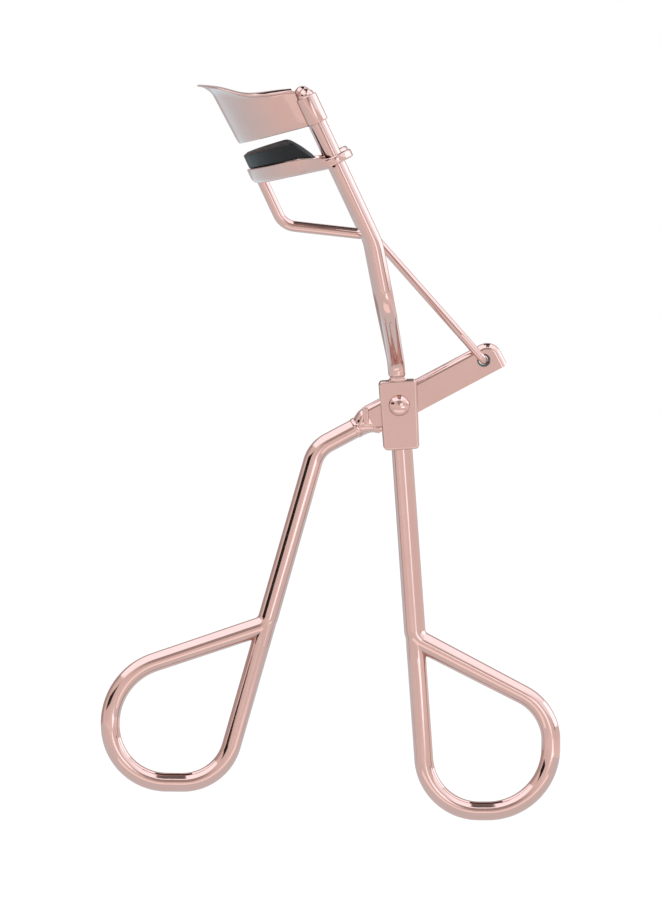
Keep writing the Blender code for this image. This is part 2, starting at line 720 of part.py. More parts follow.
def build():
    clear_scene()
    rose_gold = material("rose_gold_plate", (0.80, 0.52, 0.45), 0.12, 1.0)
    silicone = material("black_silicone", (0.012, 0.012, 0.013), 0.5, 0.0)
    lever_axis = axis_empty("handle_pivot_axis", Vector())
    hook_axis = axis_empty("link_hook_axis", HOOK)
    carry(lever_axis, hook_axis)
    finish(upper_jaw(), rose_gold)
    finish(guide_rod("guide_rod_near", -ROD_HALF_SPACING), rose_gold)
    finish(guide_rod("guide_rod_far", ROD_HALF_SPACING), rose_gold)
    finish(bracket_plate("bracket_front_plate", -1), rose_gold)
    finish(bracket_plate("bracket_back_plate", 1), rose_gold)
    finish(pivot_rivet(), rose_gold)
    finish(fixed_handle(), rose_gold)
    carry(lever_axis, finish(lever_arm(), rose_gold), finish(moving_handle(), rose_gold))
    carry(hook_axis, finish(link_wire(), rose_gold), finish(moving_jaw(), rose_gold), finish(lash_pad(), silicone))


build()
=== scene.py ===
"""Looks of an eyelash curler: polished rose-gold wire and sheet, and a silicone pad, in a studio."""

import math

import bmesh
import bpy
from mathutils import Matrix, Vector


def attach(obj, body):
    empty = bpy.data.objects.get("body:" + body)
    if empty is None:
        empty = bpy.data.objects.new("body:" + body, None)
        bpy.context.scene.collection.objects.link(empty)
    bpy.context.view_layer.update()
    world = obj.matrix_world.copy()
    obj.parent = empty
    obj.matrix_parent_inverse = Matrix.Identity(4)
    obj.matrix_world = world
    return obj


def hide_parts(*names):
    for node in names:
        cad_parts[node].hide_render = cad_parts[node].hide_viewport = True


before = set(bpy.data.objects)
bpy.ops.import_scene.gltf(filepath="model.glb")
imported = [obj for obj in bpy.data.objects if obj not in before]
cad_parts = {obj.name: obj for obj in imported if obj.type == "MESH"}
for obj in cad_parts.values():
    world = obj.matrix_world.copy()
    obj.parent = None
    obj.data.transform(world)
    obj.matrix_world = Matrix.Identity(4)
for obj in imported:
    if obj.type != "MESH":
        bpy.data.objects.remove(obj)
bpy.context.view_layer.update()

MM = 0.001
UP = Vector((0, 0, 1))
SIDE = Vector((0, 1, 0))
# Turns a shape's own Z axis to point at the near side
ACROSS = Matrix.Rotation(math.pi / 2, 4, "X")

# Lever
LEVER_RISE = math.radians(28)
LEVER_WIDTH = 4.35 * MM
LEVER_DEPTH = 3.0 * MM
LEVER_SHEET = 0.6 * MM
LEVER_FOLD = 0.9 * MM
LEVER_NOSE = 16.55 * MM
LEVER_NOSE_CORNER = 2.1 * MM
LEVER_NOSE_FOOT = 0.45 * MM
LEVER_HEEL = -4.6 * MM
HOOK_REACH = 13.8 * MM
HOOK_HOLE = 0.97 * MM
HOOK_HOLE_FAR = 0.68 * MM
HOOK_HOLE_DEPTH = LEVER_DEPTH * 1.98
HOOK_COLLAR_WALL = 0.25 * MM
HOOK_COLLAR_FIT = 1.002
CRIMP_END = -7.3 * MM
# Each level's place along the lever, half depth, top, bottom and squareness
CRIMP_LEVELS = (
    (-4.3 * MM, 1.45 * MM, 2.1 * MM, -2.1 * MM, 4.0),
    (-4.75 * MM, 1.46 * MM, 2.1 * MM, -2.05 * MM, 4.0),
    (-5.1 * MM, 1.5 * MM, 2.05 * MM, -1.75 * MM, 3.2),
    (-5.6 * MM, 1.55 * MM, 1.95 * MM, -1.58 * MM, 2.6),
    (-6.0 * MM, 1.58 * MM, 1.78 * MM, -1.52 * MM, 2.2),
    (-6.4 * MM, 1.54 * MM, 1.56 * MM, -1.5 * MM, 2.0),
    (-6.55 * MM, 1.45 * MM, 1.45 * MM, -1.45 * MM, 2.0),
    (-6.7 * MM, 1.5 * MM, 1.5 * MM, -1.5 * MM, 2.0),
    (-7.0 * MM, 1.52 * MM, 1.52 * MM, -1.52 * MM, 2.0),
    (-7.22 * MM, 1.48 * MM, 1.48 * MM, -1.48 * MM, 2.0),
    (CRIMP_END, 1.42 * MM, 1.42 * MM, -1.42 * MM, 2.0),
    (CRIMP_END + 0.4 * MM, 1.405 * MM, 1.405 * MM, -1.405 * MM, 2.0),
)
FOLD_THICK = 0.7 * MM
FOLD_EDGE = 0.16 * MM
# Each fold's place along the lever, side, height, lean, width and length
FOLDS = (
    (-4.95 * MM, -1.36 * MM, 0.95 * MM, math.radians(24), 0.85 * MM, 2.3 * MM),
    (-4.95 * MM, 1.36 * MM, 0.95 * MM, math.radians(24), 0.85 * MM, 2.3 * MM),
    (-5.95 * MM, -1.34 * MM, 0.5 * MM, math.radians(38), 0.5 * MM, 1.7 * MM),
    (-4.2 * MM, -1.34 * MM, -1.55 * MM, math.radians(-62), 0.55 * MM, 1.5 * MM),
)

# Bracket plates and rivet
BRACKET_TOP_WIDTH = 5.5 * MM
BRACKET_FOOT_WIDTH = 5.1 * MM
BRACKET_LEAN = math.radians(3.2)
BRACKET_RISE = 3.65 * MM
BRACKET_DROP = 6.4 * MM
BRACKET_CORNER = 0.6 * MM
BRACKET_EDGE = 0.34 * MM
PLATE_INNER = 1.8 * MM
PLATE_OUTER = 2.6 * MM
PLATE_MIDDLE = (PLATE_INNER + PLATE_OUTER) / 2
NECK_TOP = 4.1 * MM
NECK_BASE = 1.35 * MM
NECK_WAIST = 0.97 * MM
NECK_ROOT = 2.9 * MM
# Each level's height, half width and half depth
NECK_LEVELS = (
    (NECK_ROOT, NECK_BASE * 1.1, 0.3 * MM),
    (BRACKET_RISE - 0.1 * MM, NECK_BASE * 1.04, 0.34 * MM),
    (BRACKET_RISE + 0.06 * MM, NECK_BASE * 0.95, 0.38 * MM),
    (BRACKET_RISE + 0.2 * MM, NECK_BASE * 0.84, 0.48 * MM),
    (BRACKET_RISE + 0.38 * MM, NECK_WAIST * 1.04, 0.62 * MM),
    (BRACKET_RISE + 0.55 * MM, NECK_WAIST, 0.75 * MM),
    (NECK_TOP + 0.6 * MM, NECK_WAIST, 0.85 * MM),
)
RIVET_RADIUS = 1.55 * MM
RIVET_TOP = 3.55 * MM
RIVET_FULLNESS = 0.9
RIVET_SHANK = 1.0 * MM
RIVET_TAIL_RADIUS = 1.35 * MM
RIVET_TAIL_TOP = 3.35 * MM

# Guide rods
ROD_RADIUS = 1.2 * MM
ROD_HALF_SPACING = 15.0 * MM
ROD_FOOT = 2.0 * MM
ROD_FOOT_RISE = 0.15 * MM
ROD_FOOT_BEND = 3.0 * MM
ROD_FOOT_EDGE = 0.35 * MM
ROD_LOWER_LEAN = math.radians(12.6)
ROD_LOWER_RUN = 19.9 * MM
ROD_SPREAD_RUN = 8.0 * MM
ROD_SPREAD_BEND = 5.0 * MM
ROD_BEND = 9.0 * MM
ROD_BEND_RUN = -2.4 * MM
ROD_UPPER_LEAN = math.radians(25.1)
ROD_UPPER_RUN = 21.0 * MM
ROD_DOME = 1.15 * MM

# Upper jaw
JAW_TILT = math.radians(13)
JAW_SHEET = 0.6 * MM
JAW_SPREAD = math.radians(83)
UPPER_EDGE_REACH = 11.4 * MM
UPPER_EDGE_TILT = math.radians(14.8)
UPPER_TOP_REACH = 12.8 * MM
UPPER_ROLL = 0.08 * MM
UPPER_ROLL_SHARE = 0.14
UPPER_FACE_SHARE = 0.6
LIP_REACH = 1.85 * MM
LIP_CURL = 1.6
LIP_RISE = 1.5 * MM
LIP_EDGE = 0.26 * MM
LIP_DIP = 0.7 * MM
LIP_END_RISE = 0.5 * MM
LIP_DIP_TURN = math.radians(55)
LIP_DIP_SPAN = math.radians(16)
# How a cut edge of the sheet is rounded: how far past the edge, and where in the thickness
SHEET_EDGE = ((0.012, 0.7), (0.018, 0.0), (0.012, -0.7))
SLEEVE_BORE = ROD_RADIUS * 1.005
SLEEVE_BORE_EDGE = 0.02 * MM
SLEEVE_OUTER = 1.55 * MM
SLEEVE_LENGTH = 4.2 * MM
SLEEVE_RIM = 0.2 * MM

# Moving jaw and pad, measured from the plane through the ears
EAR_RUN = 11.6 * MM
EAR_OUTER = 2.6 * MM
EAR_BORE = 1.6 * MM
EAR_BORE_DEPTH = 8 * MM
EAR_EDGE = 0.28 * MM
EAR_LOW = -1.25 * MM
EAR_HIGH = 0.0 * MM
HOLDER_REACH = 12.3 * MM
HOLDER_HALF = 15.6 * MM
HOLDER_THICKNESS = 2.8 * MM
HOLDER_SPREAD = math.radians(86)
HOLDER_BOTTOM = -1.7 * MM
HOLDER_RIM_TOP = 0.6 * MM
HOLDER_RIM_END = 5.2 * MM
HOLDER_ARM_TOP = -0.15 * MM
HOLDER_ARM_START = 1.0 * MM
HOLDER_FLARE = 2.0 * MM
HOLDER_FLARE_START = 5.0 * MM
HOLDER_WALL = 0.6 * MM
GROOVE_FLOOR = -0.4 * MM
FOOT_ROUND = 0.95 * MM
FOOT_ROUND_BACK = 0.6 * MM
RIM_ROUND = 0.2 * MM
RIM_ROUND_INNER = 0.15 * MM
GROOVE_ROUND = 0.1 * MM
PAD_CREST = 3.46 * MM
PAD_CREST_FRONT = 1.15 * MM
PAD_CREST_BACK = 1.7 * MM
PAD_SHOULDER = 3.0 * MM
PAD_BACK_DROP = 0.1 * MM
PAD_BACK_SETBACK = 0.15 * MM
PAD_FRONT_DROP = 0.45 * MM
PAD_LOW = 0.66 * MM
PAD_SETBACK = 0.42 * MM
PAD_SPREAD = math.radians(75.5)
PAD_SLOPE_START = math.radians(61)
PAD_SLOPE_DROP = 0.97
PAD_SLOPE_CURVE = 1.75
PAD_SEAT_GAP = 0.06 * MM
PAD_FOOT_ROUND = 0.2 * MM
PAD_BACK_ROUND = 0.4 * MM
PAD_CREST_ROUND = 0.35 * MM
PAD_SHOULDER_ROUND = 0.3 * MM

# Link wire
LINK_RADIUS = 0.79 * MM
LINK_LOW_RADIUS = 0.6 * MM
LINK_TIP_RADIUS = 0.57 * MM
# Where the link's run starts and ends its taper, as shares of the run
LINK_TAPER = (0.8, 0.86)
LINK_SOCKET_DEPTH = 0.9 * MM
LINK_DROP = 6.85 * MM
LINK_RUN = 13.0 * MM
LINK_RUN_DIP = math.radians(6.4)
LINK_BEND = 3.0 * MM
LINK_HOOK_BEND = 1.0 * MM
LINK_STANDOFF = 5.0 * MM
LINK_PIN_END = 2.2 * MM
LINK_SIDE = -2.55 * MM

# Handles
HANDLE_LEAN = math.radians(4.0)
FIXED_RADIUS = 1.5 * MM
FIXED_TOP = 3.8 * MM
FIXED_SHANK = 33.8 * MM
FIXED_SIDE = 24.9 * MM
FIXED_TOP_RUN = 22.05 * MM
FIXED_TOP_DIP = math.radians(27.5)
FIXED_OUTER_RUN = 14.7 * MM
FIXED_CORNERS = (7.5 * MM, 9.1 * MM, 8.0 * MM)
MOVING_RADIUS = 1.4 * MM
MOVING_START = 4.75 * MM
MOVING_ELBOW_REACH = 13.45 * MM
MOVING_ELBOW_BEND = 4.5 * MM
MOVING_LEAN = math.radians(16.0)
MOVING_SHANK = 26.4 * MM
MOVING_SIDE = 23.7 * MM
MOVING_TOP_RUN = 23.7 * MM
MOVING_TOP_DIP = math.radians(18.5)
MOVING_OUTER_RUN = 15.1 * MM
MOVING_CORNERS = (9.3 * MM, 8.2 * MM, 7.3 * MM)
LOOP_RADIUS = 1.38 * MM
LOOP_ROOT_BEND = 2.2 * MM
WELD_RUN = 3.0 * MM
WELD_BEAD = 1.01
WELD_TAPER = 0.8
# Where the weld's bead starts, is full and ends along the loop's side, in weld runs
WELD_STOPS = (2, 1, -0.5, -1)
ROOT_SWELL = 1.03

# Fineness of the meshes
WIRE_SIDES = 40
PIN_SIDES = 48
NECK_SIDES = 48
CRIMP_SIDES = 64
BEND_STEP = math.radians(3)
LEAST_BEND_STEPS = 3
# How much of a run its two bends may fill
ARC_ROOM = 0.98
ROUND_STEPS = 6
EDGE_STEPS = 4
PLATE_EDGE_STEPS = 5
LEVER_FOLD_STEPS = 8
LEVER_NOSE_STEPS = 12
RIVET_STEPS = 12
# What part of a step the last ring of a dome stays short of its pole
DOME_GAP = 0.3
TURNED_STEPS = 64
ARC_COLUMNS = 120
FACE_ROWS = 40
SLOPE_STEP = 1e-3
SHARP_ANGLE = math.radians(40)
# Points closer than this are one point
MERGE = 0.002 * MM

# Finishes: sRGB colours, and the sizes of patterns
ROSE_GOLD = "#D3AEA5"
ROSE_GOLD_HAZED = "#CDA79E"
# Painted shade: the dark brown that deep creases are painted, and how far ambient occlusion looks for
# them
PAINTED_CREASE_SHADE = "#2E2220"
CREASE_REACH = 2.5 * MM
HAZE_SIZE = 4 * MM
SKIN_WAVE = 2.5 * MM
SKIN_WAVE_HEIGHT = 0.1 * MM
SILICONE_BLACK = "#141414"
SILICONE_BLOOM = "#1D1D1D"
BLOOM_SIZE = 2 * MM
GRAIN_SIZE = 0.12 * MM
GRAIN_HEIGHT = 0.03 * MM
# The levels between which a noise pattern mostly stays
NOISE_LOW, NOISE_HIGH = 0.3, 0.7

BRACKET_UP = Vector((-math.sin(HANDLE_LEAN), 0, math.cos(HANDLE_LEAN)))
LEVER_ALONG = Vector((math.cos(LEVER_RISE), 0, math.sin(LEVER_RISE)))
ROD_LOWER_UP = Vector((-math.sin(ROD_LOWER_LEAN), 0, math.cos(ROD_LOWER_LEAN)))
ROD_UP = Vector((-math.sin(ROD_UPPER_LEAN), 0, math.cos(ROD_UPPER_LEAN)))
ROD_START = BRACKET_UP * NECK_TOP
ROD_KNEE = BRACKET_UP * (NECK_TOP + ROD_FOOT_RISE + ROD_FOOT)
ROD_CORNER = ROD_KNEE + ROD_LOWER_UP * ROD_LOWER_RUN
HOOK = LEVER_ALONG * HOOK_REACH
LEVER_FRAME = Matrix.Rotation(-LEVER_RISE, 4, "Y")
BRACKET_FRAME = Matrix.Rotation(-BRACKET_LEAN, 4, "Y")
JAW_LEAN = math.tan(ROD_UPPER_LEAN - JAW_TILT)


def rod_point(run, side=0.0):
    """A point on the straight upper part of a rod, or midway between the rods."""
    return ROD_CORNER + ROD_UP * run + SIDE * side


JAW_FRAME = Matrix.Translation(rod_point(EAR_RUN)) @ Matrix.Rotation(-JAW_TILT, 4, "Y")


# Materials


def linear(code):
    """A colour written as sRGB hex, as the linear values that a shader takes."""
    parts = [int(code[i : i + 2], 16) / 255 for i in (1, 3, 5)]
    return (*(c / 12.92 if c <= 0.04045 else ((c + 0.055) / 1.055) ** 2.4 for c in parts), 1)


def node(tree, kind, settings=None, values=None, links=None):
    """Adds a node with its settings, its sockets' values and the outputs linked to its sockets."""
    made = tree.nodes.new(kind)
    for key, value in (settings or {}).items():
        setattr(made, key, value)
    for key, value in (values or {}).items():
        made.inputs[key].default_value = value
    for key, source in (links or {}).items():
        tree.links.new(source, made.inputs[key])
    return made


def surface(name):
    """A new material, with its node tree and its shader."""
    made = bpy.data.materials.new(name)
    made.use_nodes = True
    return made, made.node_tree, made.node_tree.nodes["Principled BSDF"]


def rose_gold_plate():
    """Copper-gold electroplate over polished brass: clean reflections, barely softened by buffing haze.

    The haze drifts over a few millimetres, the buffed skin waves very slightly, and deep creases get
    painted
    shade: the colour goes dark brown where ambient occlusion finds them.
    """
    made, tree, shader = surface("polished_rose_gold")
    place = node(tree, "ShaderNodeTexCoord").outputs["Object"]
    haze = node(
        tree, "ShaderNodeTexNoise", values={"Scale": 1 / HAZE_SIZE, "Detail": 3}, links={"Vector": place}
    )
    rough = node(
        tree,
        "ShaderNodeMapRange",
        values={"From Min": NOISE_LOW, "From Max": NOISE_HIGH, "To Min": 0.06, "To Max": 0.12},
        links={"Value": haze.outputs["Fac"]},
    )
    tint = node(
        tree,
        "ShaderNodeMix",
        {"data_type": "RGBA"},
        {"A": linear(ROSE_GOLD), "B": linear(ROSE_GOLD_HAZED)},
        {"Factor": haze.outputs["Fac"]},
    )
    # Painted shade: where ambient occlusion finds a crease, the plate's colour is mixed towards dark
    # brown
    occlusion = node(tree, "ShaderNodeAmbientOcclusion", {"samples": 8}, {"Distance": CREASE_REACH})
    crease_shade = node(
        tree,
        "ShaderNodeMapRange",
        values={"From Min": 0.1, "From Max": 0.5},
        links={"Value": occlusion.outputs["AO"]},
    )
    shaded_plate = node(
        tree,
        "ShaderNodeMix",
        {"data_type": "RGBA"},
        {"A": linear(PAINTED_CREASE_SHADE)},
        {"Factor": crease_shade.outputs["Result"], "B": tint.outputs["Result"]},
    )
    wave = node(
        tree, "ShaderNodeTexNoise", values={"Scale": 1 / SKIN_WAVE, "Detail": 2}, links={"Vector": place}
    )
    bump = node(
        tree,
        "ShaderNodeBump",
        values={"Strength": 0.02, "Distance": SKIN_WAVE_HEIGHT},
        links={"Height": wave.outputs["Fac"]},
    )
    shader.inputs["Metallic"].default_value = 1
    tree.links.new(shaded_plate.outputs["Result"], shader.inputs["Base Color"])
    tree.links.new(rough.outputs["Result"], shader.inputs["Roughness"])
    tree.links.new(bump.outputs["Normal"], shader.inputs["Normal"])
    return made


def black_silicone():
    """Moulded silicone rubber: charcoal and satin, a little cloudy, with the matt grain of its mould.

    A mould's own grain is too fine to show, so it is drawn about as wide as a pixel of the main view.
    """
    made, tree, shader = surface("moulded_silicone")
    place = node(tree, "ShaderNodeTexCoord").outputs["Object"]
    grain = node(
        tree, "ShaderNodeTexNoise", values={"Scale": 1 / GRAIN_SIZE, "Detail": 3}, links={"Vector": place}
    )
    bloom = node(
        tree, "ShaderNodeTexNoise", values={"Scale": 1 / BLOOM_SIZE, "Detail": 2}, links={"Vector": place}
    )
    tint = node(
        tree,
        "ShaderNodeMix",
        {"data_type": "RGBA"},
        {"A": linear(SILICONE_BLACK), "B": linear(SILICONE_BLOOM)},
        {"Factor": bloom.outputs["Fac"]},
    )
    rough = node(
        tree,
        "ShaderNodeMapRange",
        values={"From Min": NOISE_LOW, "From Max": NOISE_HIGH, "To Min": 0.4, "To Max": 0.52},
        links={"Value": bloom.outputs["Fac"]},
    )
    bump = node(
        tree,
        "ShaderNodeBump",
        values={"Strength": 0.12, "Distance": GRAIN_HEIGHT},
        links={"Height": grain.outputs["Fac"]},
    )
    shader.inputs["IOR"].default_value = 1.43
    shader.inputs["Specular IOR Level"].default_value = 0.3
    tree.links.new(tint.outputs["Result"], shader.inputs["Base Color"])
    tree.links.new(rough.outputs["Result"], shader.inputs["Roughness"])
    tree.links.new(bump.outputs["Normal"], shader.inputs["Normal"])
    return made


PLATE = rose_gold_plate()
SILICONE = black_silicone()


# Helpers for meshes


def as_object(name, shape):
    """A bmesh as an object in the scene, with its faces outwards."""
    mesh = bpy.data.meshes.new(name)
    bmesh.ops.recalc_face_normals(shape, faces=shape.faces)
    shape.to_mesh(mesh)
    shape.free()
    made = bpy.data.objects.new(name, mesh)
    bpy.context.scene.collection.objects.link(made)
    return made


def combine(piece, operation, tool):
    """Joins or cuts a piece with a tool, which is then thrown away."""
    modifier = piece.modifiers.new("shape", "BOOLEAN")
    modifier.operation = operation
    modifier.object = tool
    bake(piece)
    bpy.data.objects.remove(tool)


def bake(piece):
    """Makes a piece's modifiers part of its mesh."""
    graph = bpy.context.evaluated_depsgraph_get()
    mesh = bpy.data.meshes.new_from_object(piece.evaluated_get(graph))
    piece.modifiers.clear()
    piece.data = mesh


def finish(piece, look, body, *nodes, even=False):
    """Gives a piece its finish, the CAD body that it moves with and the CAD nodes that it stands for.

    even shades a piece by its larger faces, so that a flat one reflects as a flat.
    """
    piece.data.materials.clear()
    piece.data.materials.append(look)
    piece.data.shade_smooth()
    piece.data.set_sharp_from_angle(angle=SHARP_ANGLE)
    if even:
        modifier = piece.modifiers.new("even_shading", "WEIGHTED_NORMAL")
        modifier.keep_sharp = True
    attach(piece, body)
    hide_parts(*nodes)


def parts_of(geom):
    """The vertices that an operator made, and the edges between them."""
    verts = [item for item in geom if isinstance(item, bmesh.types.BMVert)]
    edges = [item for item in geom if isinstance(item, bmesh.types.BMEdge)]
    return verts, [edge for edge in edges if edge.verts[0] in verts and edge.verts[1] in verts]


def middle(verts):
    return sum((vert.co for vert in verts), Vector()) / len(verts)


def push(shape, edges, move, scale=1.0):
    """Extrudes an open end by a move, and scales the new end about its middle."""
    verts, edges = parts_of(bmesh.ops.extrude_edge_only(shape, edges=edges)["geom"])
    bmesh.ops.translate(shape, verts=verts, vec=move)
    if scale != 1.0:
        bmesh.ops.scale(shape, verts=verts, vec=(scale,) * 3, space=Matrix.Translation(-middle(verts)))
    return verts, edges


def close(shape, edges):
    """Closes an open end with a flat face."""
    bmesh.ops.edgeloop_fill(shape, edges=edges)


def seal(shape):
    """Merges the seam of a sheet that is rolled up, and closes its two ends."""
    bmesh.ops.remove_doubles(shape, verts=shape.verts, dist=MERGE)
    bmesh.ops.holes_fill(shape, edges=[edge for edge in shape.edges if edge.is_boundary])


def round_edges(shape, edges, offset, steps):
    """Rounds off edges in that many steps."""
    bmesh.ops.bevel(
        shape, geom=edges, offset=offset, affect="EDGES", segments=steps, profile=0.5, material=-1
    )


def dome(shape, edges, along, rise):
    """Rounds off an open end. The last ring stops just short of the pole and is closed flat."""
    height, width = 0.0, 1.0
    for step in range(1, ROUND_STEPS + 1):
        turn = math.pi / 2 * step / (ROUND_STEPS + DOME_GAP)
        _, edges = push(
            shape, edges, along * (rise * math.sin(turn) - height), math.cos(turn) / width
        )
        height, width = rise * math.sin(turn), math.cos(turn)
    close(shape, edges)


def draw_wire(shape, corners, bends, radius, ends=None):
    """Pushes a round section along each run between the corners and spins it round each bend.

    ends gives the radius at the end of each run. Bends that don't fit on a run shrink together. Returns
    the edges of both open ends.
    """
    runs = [after - before for before, after in zip(corners, corners[1:])]
    turns = [0.0, *(a.angle(b) for a, b in zip(runs, runs[1:])), 0.0]
    reaches = [bend * math.tan(turn / 2) for bend, turn in zip(bends, turns)]
    room = [
        min(1, ARC_ROOM * run.length / max(before + after, MERGE))
        for run, before, after in zip(runs, reaches, reaches[1:])
    ]
    bends = [bend * min(a, b) for bend, a, b in zip(bends, [1, *room], [*room, 1])]
    reaches = [bend * math.tan(turn / 2) for bend, turn in zip(bends, turns)]
    place = Matrix.Translation(corners[0]) @ runs[0].to_track_quat("Z", "Y").to_matrix().to_4x4()
    ring = bmesh.ops.create_circle(shape, segments=WIRE_SIDES, radius=radius, matrix=place)["verts"]
    edges = first = list({edge for vert in ring for edge in vert.link_edges})
    width = radius
    for index, run in enumerate(runs):
        along = run.normalized()
        wanted = ends[index] if ends else radius
        straight = run.length - reaches[index] - reaches[index + 1]
        verts, edges = push(shape, edges, along * straight, wanted / width)
        width = wanted
        turn = turns[index + 1]
        if reaches[index + 1]:
            after = runs[index + 1].normalized()
            bend = bends[index + 1]
            centre = corners[index + 1] + (after - along).normalized() * bend / math.cos(turn / 2)
            spun = bmesh.ops.spin(
                shape,
                geom=verts + edges,
                cent=centre,
                axis=along.cross(after),
                angle=turn,
                steps=max(LEAST_BEND_STEPS, math.ceil(turn / BEND_STEP)),
            )
            verts, edges = parts_of(spun["geom_last"])
    return first, edges


def closed_wire(name, corners, bends, radius, ends):
    """A bent wire with both ends cut flat."""
    shape = bmesh.new()
    for end in draw_wire(shape, corners, bends, radius, ends):
        close(shape, end)
    return as_object(name, shape)


def turned(shape, profile, place):
    """A profile of (radius, height) turned once round its own Z axis and put in place."""
    spots = [shape.verts.new((radius, 0, height)) for radius, height in profile]
    edges = [shape.edges.new(pair) for pair in zip(spots, spots[1:])]
    bmesh.ops.spin(
        shape,
        geom=spots + edges,
        cent=(0, 0, 0),
        axis=(0, 0, 1),
        angle=2 * math.pi,
        steps=TURNED_STEPS,
        use_merge=True,
    )
    bmesh.ops.remove_doubles(shape, verts=shape.verts, dist=MERGE)
    bmesh.ops.transform(shape, matrix=place, verts=shape.verts)


def rounded(corners, radii, steps=ROUND_STEPS):
    """A flat outline of (x, y) corners, each turned into an arc of its own radius."""
    path = []
    count = len(corners)
    points = [Vector((x, y, 0)) for x, y in corners]
    for index, (corner, radius) in enumerate(zip(points, radii)):
        before = (points[index - 1] - corner).normalized()
        after = (points[(index + 1) % count] - corner).normalized()
        turn = math.pi - before.angle(after)
        if not radius:
            path.append((corner.x, corner.y))
            continue
        centre = corner + (before + after).normalized() * radius / math.cos(turn / 2)
        start = corner + before * radius * math.tan(turn / 2) - centre
        axis = after.cross(before)
        for step in range(steps + 1):
            spot = centre + Matrix.Rotation(turn * step / steps, 3, axis) @ start
            path.append((spot.x, spot.y))
    return path


def form_sheet(columns, rows, place):
    """A flat blank pressed to shape: place(u, v) says where each point goes, u and v from 0 to 1."""
    shape = bmesh.new()
    bmesh.ops.create_grid(shape, x_segments=columns, y_segments=rows, size=1)
    for vert in shape.verts:
        vert.co = place((vert.co.x + 1) / 2, (vert.co.y + 1) / 2)
    return shape


def sweep(columns, section, place):
    """A closed section carried along: place(u, x, y) says where a point of the section goes."""
    count = len(section)

    def spot(u, v):
        return place(u, *section[round(v * count) % count])

    shape = form_sheet(columns, count, spot)
    seal(shape)
    return shape


def skin_over(levels, sides, place):
    """A closed skin over a row of rings: place(*level, c, s) says where a point of a ring goes."""
    rows = len(levels) - 1

    def spot(u, v):
        turn = 2 * math.pi * u
        return place(*levels[round(v * rows)], math.cos(turn), math.sin(turn))

    shape = form_sheet(sides, rows, spot)
    seal(shape)
    return shape


def round_pin(shape, radius, depth, place):
    """A plain pin, as the tool that cuts a round hole."""
    bmesh.ops.create_cone(
        shape,
        cap_ends=True,
        segments=PIN_SIDES,
        radius1=radius,
        radius2=radius,
        depth=depth,
        matrix=place,
    )


# Pieces


def guide_rod(name, cad_node, side):
    """A rod that spreads above its plate, leans over at a bend and ends in a dome."""
    foot = SIDE * math.copysign(PLATE_MIDDLE, side)
    rise = (rod_point(ROD_BEND_RUN) - ROD_KNEE).normalized()
    spread = ROD_KNEE + rise * ROD_SPREAD_RUN + SIDE * side
    bend, top = rod_point(ROD_BEND_RUN, side), rod_point(ROD_UPPER_RUN, side)
    shape = bmesh.new()
    corners = [ROD_START + foot, ROD_KNEE + foot, spread, bend, top]
    first, last = draw_wire(shape, corners, [0, ROD_FOOT_BEND, ROD_SPREAD_BEND, ROD_BEND, 0], ROD_RADIUS)
    dome(shape, last, ROD_UP, ROD_DOME)
    close(shape, first)
    round_edges(shape, first, ROD_FOOT_EDGE, EDGE_STEPS)
    finish(as_object(name, shape), PLATE, "frame", cad_node)


def bracket_plate(name, cad_node, side):
    """A pressed plate with rounded shoulders, and a waisted neck drawn up into its rod."""
    half, foot = BRACKET_TOP_WIDTH / 2, BRACKET_FOOT_WIDTH / 2
    outline = rounded(
        [(-foot, -BRACKET_DROP), (foot, -BRACKET_DROP), (half, BRACKET_RISE), (-half, BRACKET_RISE)],
        [BRACKET_CORNER] * 4,
    )
    inner, outer = math.copysign(PLATE_INNER, side), math.copysign(PLATE_OUTER, side)
    shape = bmesh.new()
    face = shape.faces.new([shape.verts.new((x, inner, y)) for x, y in outline])
    verts, _ = parts_of(bmesh.ops.extrude_face_region(shape, geom=[face])["geom"])
    bmesh.ops.translate(shape, verts=verts, vec=SIDE * (outer - inner))
    rim = [edge for edge in shape.edges if all(abs(vert.co.y - outer) < MERGE for vert in edge.verts)]
    round_edges(shape, rim, BRACKET_EDGE, PLATE_EDGE_STEPS)
    bmesh.ops.transform(shape, matrix=BRACKET_FRAME, verts=shape.verts)
    made = as_object(name, shape)
    combine(made, "UNION", neck(side))
    finish(made, PLATE, "frame", cad_node, even=True)


def neck(side):
    """The waist between a plate and its rod: flat below and round above."""

    def spot(height, wide, deep, c, s):
        return Vector((wide * c, math.copysign(PLATE_MIDDLE, side) + deep * s, height))

    shape = skin_over(NECK_LEVELS, NECK_SIDES, spot)
    bmesh.ops.transform(shape, matrix=BRACKET_FRAME, verts=shape.verts)
    return as_object("neck", shape)


def pivot_rivet():
    """A domed head on the near plate, a shank, and a clenched tail on the far plate."""
    arc = [math.pi / 2 * step / RIVET_STEPS for step in range(RIVET_STEPS + 1)]
    rise, fall = RIVET_TOP - PLATE_OUTER, RIVET_TAIL_TOP - PLATE_OUTER
    head = [
        (RIVET_RADIUS * math.sin(turn), PLATE_OUTER + rise * max(math.cos(turn), 0) ** RIVET_FULLNESS)
        for turn in arc
    ]
    tail = [
        (RIVET_TAIL_RADIUS * math.cos(turn), -PLATE_OUTER - fall * math.sin(turn)) for turn in arc
    ]
    shank = [(RIVET_SHANK, PLATE_OUTER), (RIVET_SHANK, -PLATE_OUTER)]
    profile = [(max(x, 0), z) for x, z in head + shank + tail]
    shape = bmesh.new()
    turned(shape, profile, ACROSS)
    finish(as_object("domed_rivet", shape), PLATE, "frame", "pivot_rivet")


